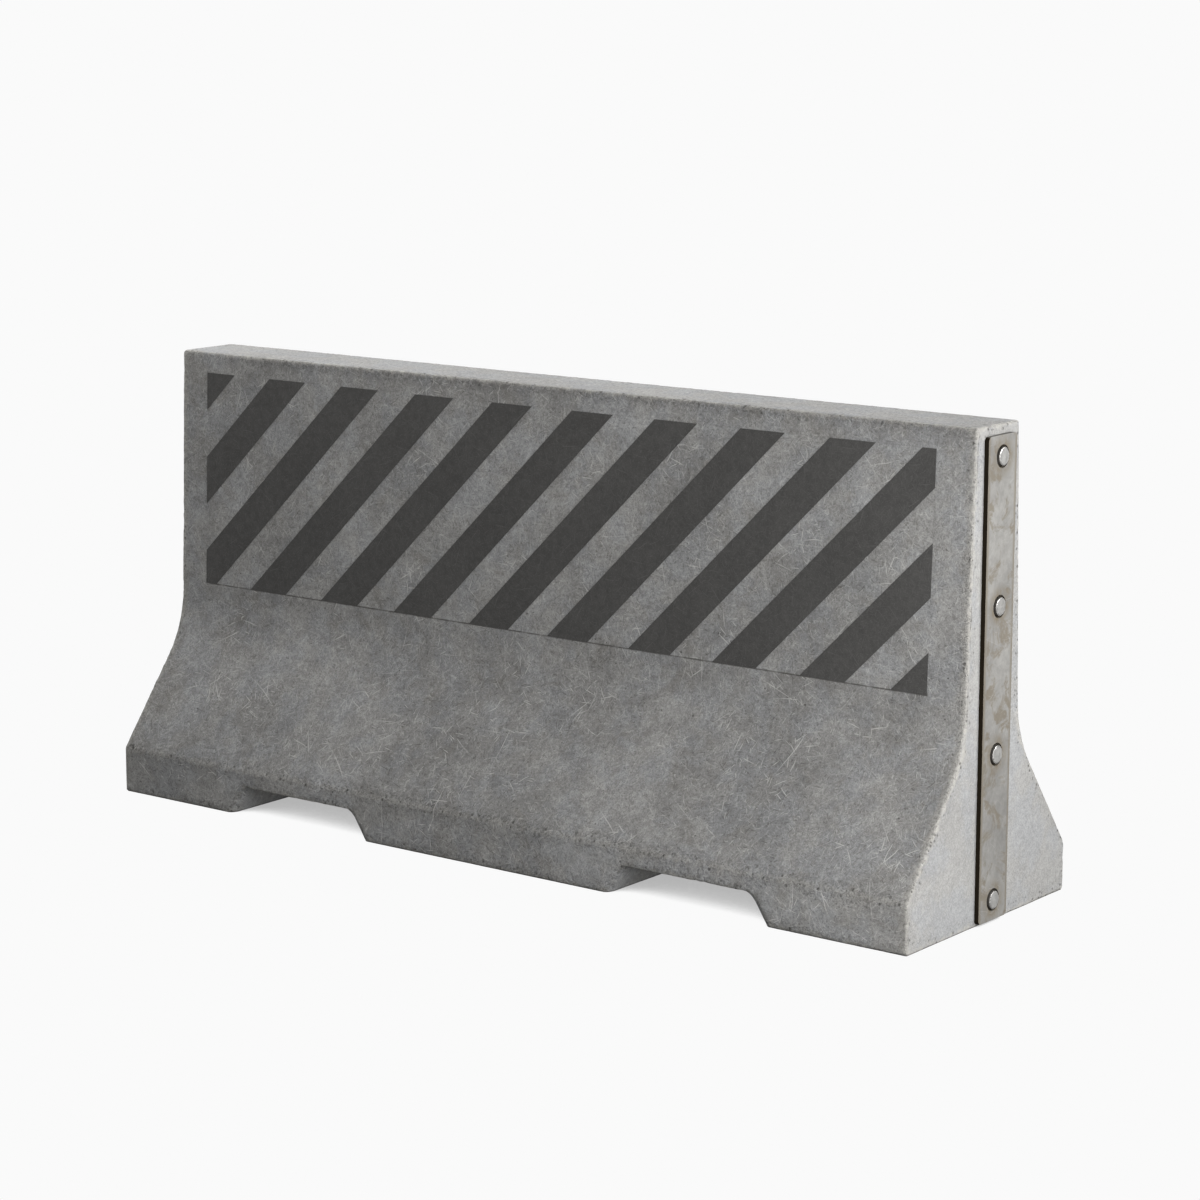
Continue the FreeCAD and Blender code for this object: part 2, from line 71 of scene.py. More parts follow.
# ---------------------------------------- places taken from the frame

_, body_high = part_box("concrete_body")
HALF_LENGTH = body_high.x
HALF_WIDTH = body_high.y
HEIGHT = body_high.z
concrete_mesh = nodes["concrete_body"].data
concrete_skin = BVHTree.FromPolygons([vertex.co for vertex in concrete_mesh.vertices],
                                     [face.vertices for face in concrete_mesh.polygons])


def half_width_at(height):
    """Half the width of the cast concrete at a height, halfway along the barrier."""
    start = Vector((0.0, -2 * HALF_WIDTH, height))
    return abs(concrete_skin.ray_cast(start, Vector((0, 1, 0)))[0].y)


def straight_stretch(low, high):
    """The flat face between two heights, as (lean, half width at the ground)."""
    lean = (half_width_at(high) - half_width_at(low)) / (high - low)
    return lean, half_width_at(low) - lean * low


# heights, as shares of the whole, between which the slope and the upper wall are flat
SLOPE_STRETCH = (0.15, 0.25)
WALL_STRETCH = (0.55, 0.90)
slope_lean, slope_foot = straight_stretch(*(share * HEIGHT for share in SLOPE_STRETCH))
wall_lean, wall_foot = straight_stretch(*(share * HEIGHT for share in WALL_STRETCH))
FOOT_HEIGHT = (HALF_WIDTH - slope_foot) / slope_lean
KNEE_HEIGHT = (wall_foot - slope_foot) / (slope_lean - wall_lean)
KNEE_HALF_WIDTH = wall_foot + wall_lean * KNEE_HEIGHT
TOP_HALF_WIDTH = wall_foot + wall_lean * HEIGHT

slot_boxes = [opening["box_m"] for opening in frame["record"]["physics"]["openings"]]
SLOT_CENTRES = sorted((low[0] + high[0]) / 2 for low, high in slot_boxes)


def slot_half_width(height):
    """Half the width of a fork slot at a height, halfway through the foot."""
    start = Vector((SLOT_CENTRES[0], 0.0, height))
    return concrete_skin.ray_cast(start, Vector((1, 0, 0)))[0].x - SLOT_CENTRES[0]


slot_ground = Vector((SLOT_CENTRES[0], 0.0, 0.0))
SLOT_HEIGHT = concrete_skin.ray_cast(slot_ground, Vector((0, 0, 1)))[0].z
low_in_slot = SLOT_HEIGHT / 4
high_in_slot = 3 * SLOT_HEIGHT / 4
slot_lean = ((slot_half_width(high_in_slot) - slot_half_width(low_in_slot))
             / (high_in_slot - low_in_slot))
SLOT_HALF_BOTTOM = slot_half_width(low_in_slot) - slot_lean * low_in_slot
SLOT_HALF_ROOF = SLOT_HALF_BOTTOM + slot_lean * SLOT_HEIGHT

field_low, field_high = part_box("hazard_stripes_front")
_, plate_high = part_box("end_plate_right")
bolt_low, bolt_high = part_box("plate_bolts_right")

# radii of the cast arrises, and how finely the concrete is meshed
KNEE_RADIUS = 0.250
FOOT_EDGE_RADIUS = 0.016
TOP_EDGE_RADIUS = 0.007
END_EDGE_RADIUS = 0.007
BOTTOM_EDGE_RADIUS = 0.004
LIP_RADIUS = 0.022
LIP_FADE = 0.016
FINE_STEP = 0.0028
COARSE_STEP_ALONG = 0.0092
COARSE_STEP_AROUND = 0.0100
STEP_GROWTH = 0.35
ARC_STEPS = 24
END_ARC_STEPS = 5
SPACING_SAMPLES = 1001

# ---------------------------------------- outline of the section


def unit(vector):
    """The vector, one long."""
    return vector / np.linalg.norm(vector)


def rounded_outline(corners):
    """Points along straight lines whose corners (across, up, radius) are rounded off."""
    spots = [np.array(corner[:2]) for corner in corners]
    points = [spots[0]]
    for before, corner, after, (_, _, radius) in zip(spots, spots[1:], spots[2:], corners[1:]):
        back = unit(before - corner)
        ahead = unit(after - corner)
        half_angle = math.acos(np.dot(back, ahead)) / 2
        centre = corner + unit(back + ahead) * radius / math.sin(half_angle)
        arc_start = corner + back * radius / math.tan(half_angle) - centre
        arc_end = corner + ahead * radius / math.tan(half_angle) - centre
        turn = math.pi - 2 * half_angle
        for share in np.linspace(0, 1, ARC_STEPS + 1):
            weight_start = math.sin((1 - share) * turn) / math.sin(turn)
            weight_end = math.sin(share * turn) / math.sin(turn)
            points.append(centre + weight_start * arc_start + weight_end * arc_end)
    points.append(spots[-1])
    return np.array(points)


def spaced(breaks, coarse):
    """Positions through every break, close together near the breaks and coarse between them."""
    positions = [breaks[0]]
    for start, end in zip(breaks, breaks[1:]):
        place = np.linspace(start, end, SPACING_SAMPLES)
        nearest = np.minimum(place - start, end - place)
        step = np.minimum(coarse, FINE_STEP + STEP_GROWTH * nearest)
        count = np.concatenate([[0], np.cumsum(np.diff(place) / step[1:])])
        levels = np.linspace(0, count[-1], max(1, round(count[-1])) + 1)[1:]
        positions.extend(np.interp(levels, count, place))
    return np.array(positions)


HALF_SECTION = [
    (HALF_WIDTH, 0.0, 0.0),
    (HALF_WIDTH, FOOT_HEIGHT, FOOT_EDGE_RADIUS),
    (KNEE_HALF_WIDTH, KNEE_HEIGHT, KNEE_RADIUS),
    (TOP_HALF_WIDTH, HEIGHT, TOP_EDGE_RADIUS),
    (0.0, HEIGHT, 0.0),
]
outline_points = rounded_outline(HALF_SECTION)
outline_length = np.concatenate([[0], np.cumsum(np.linalg.norm(np.diff(outline_points, axis=0),
                                                               axis=1))])


def outline(position):
    """Across and up on the half section, at distances along its outline from the ground."""
    return (np.interp(position, outline_length, outline_points[:, 0]),
            np.interp(position, outline_length, outline_points[:, 1]))


def outline_normal(position):
    """The outward direction across and up, at distances along the outline."""
    reach = FINE_STEP / 4
    behind = outline(np.clip(position - reach, 0, outline_length[-1]))
    ahead = outline(np.clip(position + reach, 0, outline_length[-1]))
    run = ahead[0] - behind[0]
    rise = ahead[1] - behind[1]
    size = np.hypot(run, rise)
    return rise / size, -run / size


def outline_position(corner):
    """Distance along the outline to its point nearest a corner of the section."""
    gaps = np.linalg.norm(outline_points - np.array(corner[:2]), axis=1)
    return outline_length[np.argmin(gaps)]


# ---------------------------------------- cast concrete, as a grid

def slot_line(along):
    """Height of the nearer slanted slot side, carried on above the roof and below the ground."""
    offset = np.min([np.abs(along - centre) for centre in SLOT_CENTRES], axis=0)
    return (offset - SLOT_HALF_BOTTOM) / slot_lean


def lip_inset(along, up):
    """How far the rounded lip of a slot draws the foot face back."""
    stretch = LIP_RADIUS * math.hypot(1, slot_lean) / abs(slot_lean)
    above = np.clip((up - slot_line(along)) / stretch, 0, 1)
    curve = LIP_RADIUS * (1 - np.sqrt(1 - (1 - above) ** 2))
    fade = np.clip((SLOT_HEIGHT - up) / LIP_FADE, 0, 1)
    return curve * np.sqrt(fade)


def edge_rounding(distance, radius):
    """How far a rounded edge stands back from the sharp one, at a distance from it."""
    reach = np.clip(1 - distance / radius, 0, 1)
    return radius * (1 - np.sqrt(1 - reach ** 2))


def stations_along():
    """Places along the barrier, and how far the section shrinks at each for the end arris."""
    straight = HALF_LENGTH - END_EDGE_RADIUS
    lip_reach = LIP_RADIUS * math.hypot(1, slot_lean)
    breaks = [-straight, straight]
    for centre in SLOT_CENTRES:
        for half in (SLOT_HALF_ROOF, SLOT_HALF_BOTTOM, SLOT_HALF_BOTTOM + lip_reach):
            breaks.extend([centre - half, centre + half])
    middle = spaced(sorted(breaks), COARSE_STEP_ALONG)
    turn = np.linspace(0, math.pi / 2, END_ARC_STEPS + 1)[1:]
    end = straight + END_EDGE_RADIUS * np.sin(turn)
    end_shrink = END_EDGE_RADIUS * (1 - np.cos(turn))
    along = np.concatenate([-end[::-1], middle, end])
    shrink = np.concatenate([end_shrink[::-1], np.zeros(len(middle)), end_shrink])
    return along, shrink


def underside(along):
    """Height of the underside at every station: a slot, or the ground with rounded ends."""
    slot = np.clip(slot_line(along), 0, SLOT_HEIGHT)
    return np.maximum(slot, edge_rounding(HALF_LENGTH - np.abs(along), BOTTOM_EDGE_RADIUS))


def shrunk_outline(position, shrink):
    """Across and up on the half section at every station, drawn in at the end arrises."""
    across, up = outline(position)
    normal_across, normal_up = outline_normal(position)
    return across - shrink[:, None] * normal_across, up - shrink[:, None] * normal_up


def side_columns(position, along, shrink):
    """Across and up on one side at every station, with the foot cut short over the slots."""
    across, up = shrunk_outline(position, shrink)
    floor = underside(along)[:, None]
    foot_face_top = outline_points[1][1]
    on_foot = outline(position)[1] <= foot_face_top
    lifted = floor + up / foot_face_top * (foot_face_top - floor)
    up = np.where(on_foot, lifted, up)
    inset = np.maximum(lip_inset(along[:, None], up),
                       edge_rounding(up - floor, BOTTOM_EDGE_RADIUS))
    return across - np.where(on_foot, inset, 0), up


def section_rings(along, shrink):
    """The closed section at every station, and its quads up one side and over the top.

    A ring runs up the front, over the top, down the back and home along the bottom.
    """
    foot_corner = outline_position(HALF_SECTION[1])
    top_arris = outline_position(HALF_SECTION[3])
    middle = outline_length[-1]
    side = spaced([0.0, foot_corner, top_arris], COARSE_STEP_AROUND)
    half_top = spaced([top_arris, 2 * middle - top_arris], COARSE_STEP_AROUND)
    half_top = np.append(half_top[half_top < middle - FINE_STEP], middle)

    across, up = side_columns(side, along, shrink)
    half_across, half_up = shrunk_outline(half_top, shrink)
    top_across = np.concatenate([-half_across, half_across[:, -2::-1]], axis=1)
    top_up = np.concatenate([half_up, half_up[:, -2::-1]], axis=1)
    bottom_across = top_across / half_across[:, :1] * across[:, :1]
    bottom_up = np.repeat(underside(along)[:, None], bottom_across.shape[1], axis=1)

    ring_across = np.concatenate([-across, top_across[:, 1:-1], across[:, ::-1],
                                  bottom_across[:, -2:0:-1]], axis=1)
    ring_up = np.concatenate([up, top_up[:, 1:-1], up[:, ::-1], bottom_up[:, -2:0:-1]], axis=1)
    return ring_across, ring_up, len(side) - 1, top_across.shape[1] - 1


def cap_grid(station, rows, columns, ring_count, first_inner):
    """Vertex numbers of an end cap: its rim is the ring of a station, the rest are new."""
    grid = np.zeros((rows + 1, columns + 1), int)
    grid[:, 0] = np.arange(rows + 1)
    grid[rows, :] = rows + np.arange(columns + 1)
    grid[:, columns] = 2 * rows + columns - np.arange(rows + 1)
    grid[0, 1:columns] = 2 * rows + 2 * columns - np.arange(1, columns)
    grid += station * ring_count
    inner = np.arange((rows - 1) * (columns - 1)).reshape(rows - 1, columns - 1)
    grid[1:rows, 1:columns] = first_inner + inner
    return grid


def filled_cap(grid, points):
    """Points inside an end cap, blended from its rim."""
    # only the rim is read, so the numbers of points still to come may stand for any point
    rim = points[grid.clip(max=len(points) - 1)]
    across = ((rim[0, :, 1] - rim[0, 0, 1]) / (rim[0, -1, 1] - rim[0, 0, 1]))[:, None]
    upward = (rim[:, 0, 2] / rim[-1, 0, 2])[:, None, None]
    sides = (1 - across) * rim[:, :1] + across * rim[:, -1:]
    ends = (1 - upward) * rim[:1] + upward * rim[-1:]
    corners = ((1 - upward) * ((1 - across) * rim[0, 0] + across * rim[0, -1])
               + upward * ((1 - across) * rim[-1, 0] + across * rim[-1, -1]))
    return (sides + ends - corners)[1:-1, 1:-1].reshape(-1, 3)


def quad_corners(grid):
    """What a grid holds at the corners of its quads, wound from its first axis to its second."""
    return np.stack([grid[:-1, :-1], grid[1:, :-1], grid[1:, 1:], grid[:-1, 1:]], axis=2)


def side_skin(along, ring):
    """Flat coordinates on the long faces: along the barrier, and round the section."""
    girth = np.linalg.norm(np.diff(ring, axis=0, append=ring[:1]), axis=1)
    unrolled = np.concatenate([[0], np.cumsum(girth)])
    shape = (len(along), len(unrolled))
    flat = np.stack([np.broadcast_to(along[:, None], shape),
                     np.broadcast_to(unrolled[None, :], shape)], axis=-1)
    return quad_corners(flat).reshape(-1, 2)


def cap_skin(grid, points):
    """Flat coordinates on an end cap, clear of those on the long faces."""
    flat = points[grid][..., 1:] + np.array([4 * HALF_LENGTH, 0])
    return quad_corners(flat).reshape(-1, 2)


def build_concrete():
    """The cast concrete as one closed grid of quads: a ring at every station and two end caps."""
    along, shrink = stations_along()
    across, up, rows, columns = section_rings(along, shrink)
    stations, ring_count = across.shape
    rings = np.stack([np.repeat(along[:, None], ring_count, axis=1), across, up], axis=-1)
    points = rings.reshape(-1, 3)
    inner_count = (rows - 1) * (columns - 1)
    left_cap = cap_grid(0, rows, columns, ring_count, len(points))
    right_cap = cap_grid(stations - 1, rows, columns, ring_count, len(points) + inner_count)
    points = np.concatenate([points, filled_cap(left_cap, points), filled_cap(right_cap, points)])

    around = np.arange(stations * ring_count).reshape(stations, ring_count)
    around = np.concatenate([around, around[:, :1]], axis=1)
    faces = np.concatenate([quad_corners(grid).reshape(-1, 4)
                            for grid in (around, left_cap, right_cap.T)])
    skin = np.concatenate([side_skin(along, rings[stations // 2]), cap_skin(left_cap, points),
                           cap_skin(right_cap.T, points)])

    mesh = bpy.data.meshes.new("concrete_casting")
    mesh.from_pydata(points, [], faces.tolist())
    layer = mesh.uv_layers.new(name="unrolled")
    layer.data.foreach_set("uv", skin.astype(np.float32).ravel())
    casting = bpy.data.objects.new("concrete_casting", mesh)
    bpy.context.scene.collection.objects.link(casting)
    return casting


# ---------------------------------------- wear of the concrete

ARRIS_STEP = 0.005
RIPPLE_SIZE = 0.14
RIPPLE_DEPTH = 0.0005
GRIT_SIZE = 0.021
GRIT_DEPTH = 0.0003
EDGE_RUB_SIZE = 0.0077
EDGE_WEAR_DEPTH = 0.0009
EDGE_WEAR_REACH = 0.008
EDGE_WEAR_MEAN = 0.35
EDGE_WEAR_SPREAD = 0.9
CHIP_COUNT = 420
CHIP_RADII = (0.004, 0.010)
CHIP_DEPTH_SHARES = (0.06, 0.18)
FIELD_MARGIN = 0.012
FIELD_DEPTH_SHARE = 0.25
WALL_FACING = 0.5
EDGE_DISTANCE_LIMIT = 0.12
SHARP_ANGLE = math.radians(50)


def line_points(start, end):
    """Points from start to end along an arris."""
    start = np.array(start)
    end = np.array(end)
    count = max(2, int(np.linalg.norm(end - start) / ARRIS_STEP))
    return start + np.linspace(0, 1, count)[:, None] * (end - start)


def arris_points():
    """Points along every sharp or rounded edge of the casting."""
    lines = []
    for side in (-1, 1):
        for across, up in ((TOP_HALF_WIDTH, HEIGHT), (HALF_WIDTH, FOOT_HEIGHT)):
            lines.append(line_points((-HALF_LENGTH, side * across, up),
                                     (HALF_LENGTH, side * across, up)))
        ground = line_points((-HALF_LENGTH, side * HALF_WIDTH, 0),
                             (HALF_LENGTH, side * HALF_WIDTH, 0))
        lines.append(ground[slot_line(ground[:, 0]) <= 0])
        for centre in SLOT_CENTRES:
            lines.append(line_points((centre - SLOT_HALF_ROOF, side * HALF_WIDTH, SLOT_HEIGHT),
                                     (centre + SLOT_HALF_ROOF, side * HALF_WIDTH, SLOT_HEIGHT)))
            for way in (-1, 1):
                lines.append(line_points(
                    (centre + way * SLOT_HALF_BOTTOM, side * HALF_WIDTH, 0),
                    (centre + way * SLOT_HALF_ROOF, side * HALF_WIDTH, SLOT_HEIGHT)))
        for end in (-HALF_LENGTH, HALF_LENGTH):
            for low, high in zip(HALF_SECTION, HALF_SECTION[1:]):
                lines.append(line_points((end, side * low[0], low[1]),
                                         (end, side * high[0], high[1])))
            lines.append(line_points((end, 0, 0), (end, side * HALF_WIDTH, 0)))
    return np.concatenate(lines)


def tree_of(points):
    """Points sorted for finding the nearest ones."""
    tree = KDTree(len(points))
    for number, point in enumerate(points):
        tree.insert(Vector(point), number)
    tree.balance()
    return tree


def rough_noise(points, size, fading, octaves):
    """Fractal noise about 0 at every point, with bumps about size metres wide."""
    return np.array([noise.fractal(Vector(point) / size, fading, 2.0, octaves)
                     for point in points])


def vertex_vectors(values, name):
    """One vector for every vertex of a mesh."""
    flat = np.zeros(len(values) * 3)
    values.foreach_get(name, flat)
    return flat.reshape(-1, 3)


def wear_depth(points, normals, edges, edge_distance):
    """How deep ripples, grit, rubbed arrises and chips cut at every point of the cast surface."""
    ripple = rough_noise(points, RIPPLE_SIZE, 0.9, 3)
    grit = rough_noise(points, GRIT_SIZE, 0.7, 2)
    rub = rough_noise(points, EDGE_RUB_SIZE, 0.6, 2)
    depth = RIPPLE_DEPTH * (0.5 + 0.5 * ripple) + GRIT_DEPTH * (0.5 + 0.5 * grit)
    near_edge = np.exp(-(edge_distance / EDGE_WEAR_REACH) ** 2)
    rubbed = np.clip(EDGE_WEAR_MEAN + EDGE_WEAR_SPREAD * rub, 0, 1)
    depth += EDGE_WEAR_DEPTH * near_edge * rubbed
    depth += chip_depth(points, edges)
    in_field = ((np.abs(points[:, 0]) < field_high.x + FIELD_MARGIN)
                & (points[:, 2] > field_low.z - FIELD_MARGIN)
                & (points[:, 2] < field_high.z + FIELD_MARGIN)
                & (np.abs(normals[:, 1]) > WALL_FACING))
    depth = np.where(in_field, depth * FIELD_DEPTH_SHARE, depth)
    return np.clip(depth, 0, None)


def wear_down(casting):
    """Cuts the wear inwards, and keeps each point's distance to the nearest arris."""
    mesh = casting.data
    points = vertex_vectors(mesh.vertices, "co")
    normals = vertex_vectors(mesh.vertex_normals, "vector")
    edges = arris_points()
    edge_tree = tree_of(edges)
    edge_distance = np.array([edge_tree.find(Vector(point))[2] for point in points])
    depth = wear_depth(points, normals, edges, edge_distance)

    # the points that rest on the ground stay there, and nothing sinks below it
    resting = points[:, 2] < FINE_STEP / 10
    moved = points - normals * depth[:, None]
    moved[:, 2] = np.where(resting, 0, np.maximum(moved[:, 2], 0))
    mesh.vertices.foreach_set("co", moved.ravel())
    attribute = mesh.attributes.new("edge_distance", "FLOAT", "POINT")
    limited = np.minimum(edge_distance, EDGE_DISTANCE_LIMIT)
    attribute.data.foreach_set("value", limited.astype(np.float32))
    mesh.polygons.foreach_set("use_smooth", [True] * len(mesh.polygons))
    mesh.update()
    mesh.set_sharp_from_angle(angle=SHARP_ANGLE)


def chip_depth(points, edges):
    """Depth of the small chips knocked out along the arrises."""
    dice = random.Random(11)
    tree = tree_of(points)
    depth = np.zeros(len(points))
    for _ in range(CHIP_COUNT):
        centre = edges[dice.randrange(len(edges))]
        radius = dice.uniform(*CHIP_RADII)
        deepest = radius * dice.uniform(*CHIP_DEPTH_SHARES)
        for _, number, distance in tree.find_range(Vector(centre), radius):
            bowl = deepest * (1 - (distance / radius) ** 2)
            depth[number] = max(depth[number], bowl)
    return depth


# ---------------------------------------- building materials

class Shader:
    """Builds the nodes of a material or a world; each call adds a node and gives an output."""

    def __init__(self, owner):
        owner.use_nodes = True
        self.owner = owner
        self.nodes = owner.node_tree.nodes
        self.links = owner.node_tree.links
        self.nodes.clear()
        self.place = self.add("TexCoord", output="Object")

    def add(self, kind, output=0, inputs=None, **settings):
        node = self.nodes.new("ShaderNode" + kind)
        for name, value in settings.items():
            setattr(node, name, value)
        for key, value in (inputs or {}).items():
            self.feed(node.inputs[key], value)
        return node.outputs[output]

    def feed(self, socket, value):
        if isinstance(value, bpy.types.NodeSocket):
            self.links.new(value, socket)
        elif socket.type == "RGBA":
            socket.default_value = (*value, 1.0)
        else:
            socket.default_value = value

    def math(self, operation, first, second=0.0, third=0.0):
        return self.add("Math", inputs={0: first, 1: second, 2: third}, operation=operation)

    def plus(self, base, amount, factor):
        """The base plus the amount times the factor."""
        return self.math("MULTIPLY_ADD", amount, factor, base)

    def vector(self, operation, first, second=(0.0, 0.0, 0.0)):
        return self.add("VectorMath", inputs={0: first, 1: second}, operation=operation)

    def scaled(self, vector, factor):
        return self.add("VectorMath", inputs={0: vector, "Scale": factor}, operation="SCALE")

    def brighter(self, colour, share):
        """The colour, brighter by a share of itself, or darker where the share is below 0."""
        return self.scaled(colour, self.math("ADD", share, 1.0))

    def uneven(self, colour, pattern, darkest, palest, reach=0.2):
        """The colour, from darkest to palest times itself as the pattern rises about 0.5."""
        return self.scaled(colour, self.ramp(pattern, 0.5 - reach, 0.5 + reach, darkest, palest))

    def faded(self, value, where, loss):
        """The value, less a share of it where the mask is 1."""
        return self.product(value, self.plus(1.0, where, -loss))

    def parts(self, vector):
        node = self.nodes.new("ShaderNodeSeparateXYZ")
        self.feed(node.inputs[0], vector)
        return node.outputs[0], node.outputs[1], node.outputs[2]

    def ramp(self, value, low, high, start=0.0, end=1.0):
        """Carries low..high smoothly onto start..end, and stays level outside."""
        inputs = {"Value": value, "From Min": low, "From Max": high,
                  "To Min": start, "To Max": end}
        return self.add("MapRange", inputs=inputs, interpolation_type="SMOOTHSTEP")

    def noise(self, size, detail=2.0, roughness=0.5, seed=0.0, bend=0.0):
        """Soft noise between 0 and 1, with patches about size metres wide."""
        moved = self.vector("ADD", self.place, (seed, seed * 0.7, -seed))
        inputs = {"Vector": moved, "Scale": 1 / size, "Detail": detail,
                  "Roughness": roughness, "Distortion": bend}
        return self.add("TexNoise", inputs=inputs)

    def blend(self, share, first, second):
        """The first colour where the share is 0, and the second where it is 1."""
        return self.add("Mix", output=2, inputs={0: share, 6: first, 7: second},
                        data_type="RGBA")

    def most(self, *values):
        highest = values[0]
        for value in values[1:]:
            highest = self.math("MAXIMUM", highest, value)
        return highest

    def product(self, *values):
        total = values[0]
        for value in values[1:]:
            total = self.math("MULTIPLY", total, value)
        return total

    def scratches(self, flat, cell, length, width, seed, share=1.0):
        """Short thin scratches, one to a cell and each turned its own way: 1 on a scratch."""
        bends_to_metre = 0.9 / length
        bend_reach = 0.22 * length
        sway = self.add("TexNoise", output="Color",
                        inputs={"Vector": flat, "Scale": bends_to_metre, "Detail": 1.0})
        sway = self.scaled(self.vector("SUBTRACT", sway, (0.5, 0.5, 0.5)), bend_reach)
        moved = self.vector("ADD", self.vector("ADD", flat, sway), (seed, -0.6 * seed, 0.0))
        cells = self.nodes.new("ShaderNodeTexVoronoi")
        cells.voronoi_dimensions = "2D"
        self.feed(cells.inputs["Vector"], moved)
        cells.inputs["Scale"].default_value = 1 / cell
        local = self.vector("SUBTRACT", moved, cells.outputs["Position"])
        red, green, blue = self.parts(cells.outputs["Color"])
        turn = self.math("MULTIPLY", red, 2 * math.pi)
        turned = self.add("VectorRotate", inputs={"Vector": local, "Angle": turn},
                          rotation_type="Z_AXIS")
        across, beside, _ = self.parts(turned)
        shortest = 0.15 * length
        longest = 0.50 * length
        half = self.plus(shortest, blue, longest - shortest)
        taper = self.math("SUBTRACT", 1.0, self.math("POWER", self.math("DIVIDE", across, half),
                                                     2.0))
        reach = self.math("MAXIMUM", self.math("MULTIPLY", taper, width), 1e-6)
        line = self.math("DIVIDE", self.math("ABSOLUTE", beside), reach)
        shown = self.math("LESS_THAN", green, share)
        return self.product(self.ramp(line, 0.3, 1.0, 1.0, 0.0), shown)

    def pits(self, size, spacing, seed, share=1.0):
        """Small round voids, one to a cell and of many sizes: 1 at the middle of a pit."""
        moved = self.vector("ADD", self.place, (seed, seed, seed))
        cells = self.nodes.new("ShaderNodeTexVoronoi")
        self.feed(cells.inputs["Vector"], moved)
        cells.inputs["Scale"].default_value = 1 / spacing
        red, green, _ = self.parts(cells.outputs["Color"])
        # the distance output is in cells, not in metres
        smallest = 0.15 * size / spacing
        largest = 0.65 * size / spacing
        radius = self.plus(smallest, red, largest - smallest)
        depth = self.math("DIVIDE", cells.outputs["Distance"], radius)
        shown = self.math("LESS_THAN", green, share)
        return self.product(self.ramp(depth, 0.5, 1.0, 1.0, 0.0), shown)

    def finish(self, colour, rough, metallic=0.0, height=None, specular=0.5):
        """The surface, with its height in metres as bump."""
        surface = self.nodes.new("ShaderNodeBsdfPrincipled")
        self.feed(surface.inputs["Base Color"], colour)
        self.feed(surface.inputs["Roughness"], rough)
        self.feed(surface.inputs["Metallic"], metallic)
        self.feed(surface.inputs["Specular IOR Level"], specular)
        if height is not None:
            normal = self.add("Bump", inputs={"Height": height, "Distance": 1.0,
                                              "Strength": 1.0})
            self.feed(surface.inputs["Normal"], normal)
        self.end_with(surface.outputs[0])
        return self.owner

    def end_with(self, shading, kind="Material"):
        output = self.nodes.new("ShaderNodeOutput" + kind)
        self.feed(output.inputs["Surface"], shading)


def material_shader(name):
    """The builder of a new material."""
    return Shader(bpy.data.materials.new(name))


def dress(node_names, material):
    """Gives CAD nodes a material in place of the plain one they came with."""
    for name in node_names:
        for slot in nodes[name].material_slots:
            slot.material = material


# ---------------------------------------- concrete material

WARM_GREY = (0.306, 0.302, 0.293)
COOL_GREY = (0.300, 0.302, 0.303)
STAIN = (0.205, 0.193, 0.173)
LAITANCE = (0.425, 0.411, 0.380)
SCRATCH_WHITE = (0.700, 0.690, 0.665)
# near-black of dark marks and specks, also used for painted shade in the voids and at the ground
DARK_MARKS_AND_SHADE = (0.085, 0.081, 0.074)

# relief of the concrete, in metres from the lowest to the highest of each noise
CRUMB_RELIEF = 0.0007
GRAIN_RELIEF = 0.0003
MOTTLE_RELIEF = 0.0010
BROKEN_EDGE_RELIEF = 0.0044
CRUMBLED_EDGE_RELIEF = 0.0032
PIT_RELIEF = 0.0014
# how unevenly the rubbed arrises reach inland, in metres
RAGGED_REACH = 0.050
CRUMB_REACH = 0.022


def field_lines(shader):
    """Faint dark line round the stripe field, strongest along its bottom, and 1 inside the field.
    """
    along, _, up = shader.parts(shader.place)
    middle = (field_low.z + field_high.z) / 2
    beyond_end = shader.math("SUBTRACT", shader.math("ABSOLUTE", along), field_high.x)
    off_middle = shader.math("ABSOLUTE", shader.math("SUBTRACT", up, middle))
    beyond_side = shader.math("SUBTRACT", off_middle, field_high.z - middle)
    beyond = shader.math("MAXIMUM", beyond_end, beyond_side)
    line = shader.ramp(shader.math("ABSOLUTE", beyond), 0.0006, 0.0024, 1.0, 0.0)
    lower = shader.ramp(up, field_low.z, field_low.z + 0.01, 1.0, 0.15)
    inside = shader.ramp(beyond, -0.001, 0.001, 1.0, 0.0)
    return shader.product(line, lower), inside


def flat_cast(shader):
    """1 on the end faces and the top, which are smoother than the long faces, and 1 on the top."""
    normal_x, _, normal_z = shader.parts(shader.add("NewGeometry", output="True Normal"))
    facing = shader.math("MAXIMUM", shader.math("ABSOLUTE", normal_x), normal_z)
    return shader.ramp(facing, 0.75, 0.95), shader.ramp(normal_z, 0.75, 0.95)


def base_and_ends(shader):
    """1 on the foot, 1 along its top arris, 1 down at the ground, and the distance to an end."""
    along, _, up = shader.parts(shader.place)
    foot = shader.ramp(up, FOOT_HEIGHT - 0.010, FOOT_HEIGHT + 0.015, 1.0, 0.0)
    from_arris = shader.math("ABSOLUTE", shader.math("SUBTRACT", up, FOOT_HEIGHT))
    foot_arris = shader.ramp(from_arris, 0.012, 0.030, 1.0, 0.0)
    ground = shader.ramp(up, 0.0015, 0.0045, 1.0, 0.0)
    to_end = shader.math("SUBTRACT", HALF_LENGTH, shader.math("ABSOLUTE", along))
    return foot, foot_arris, ground, to_end


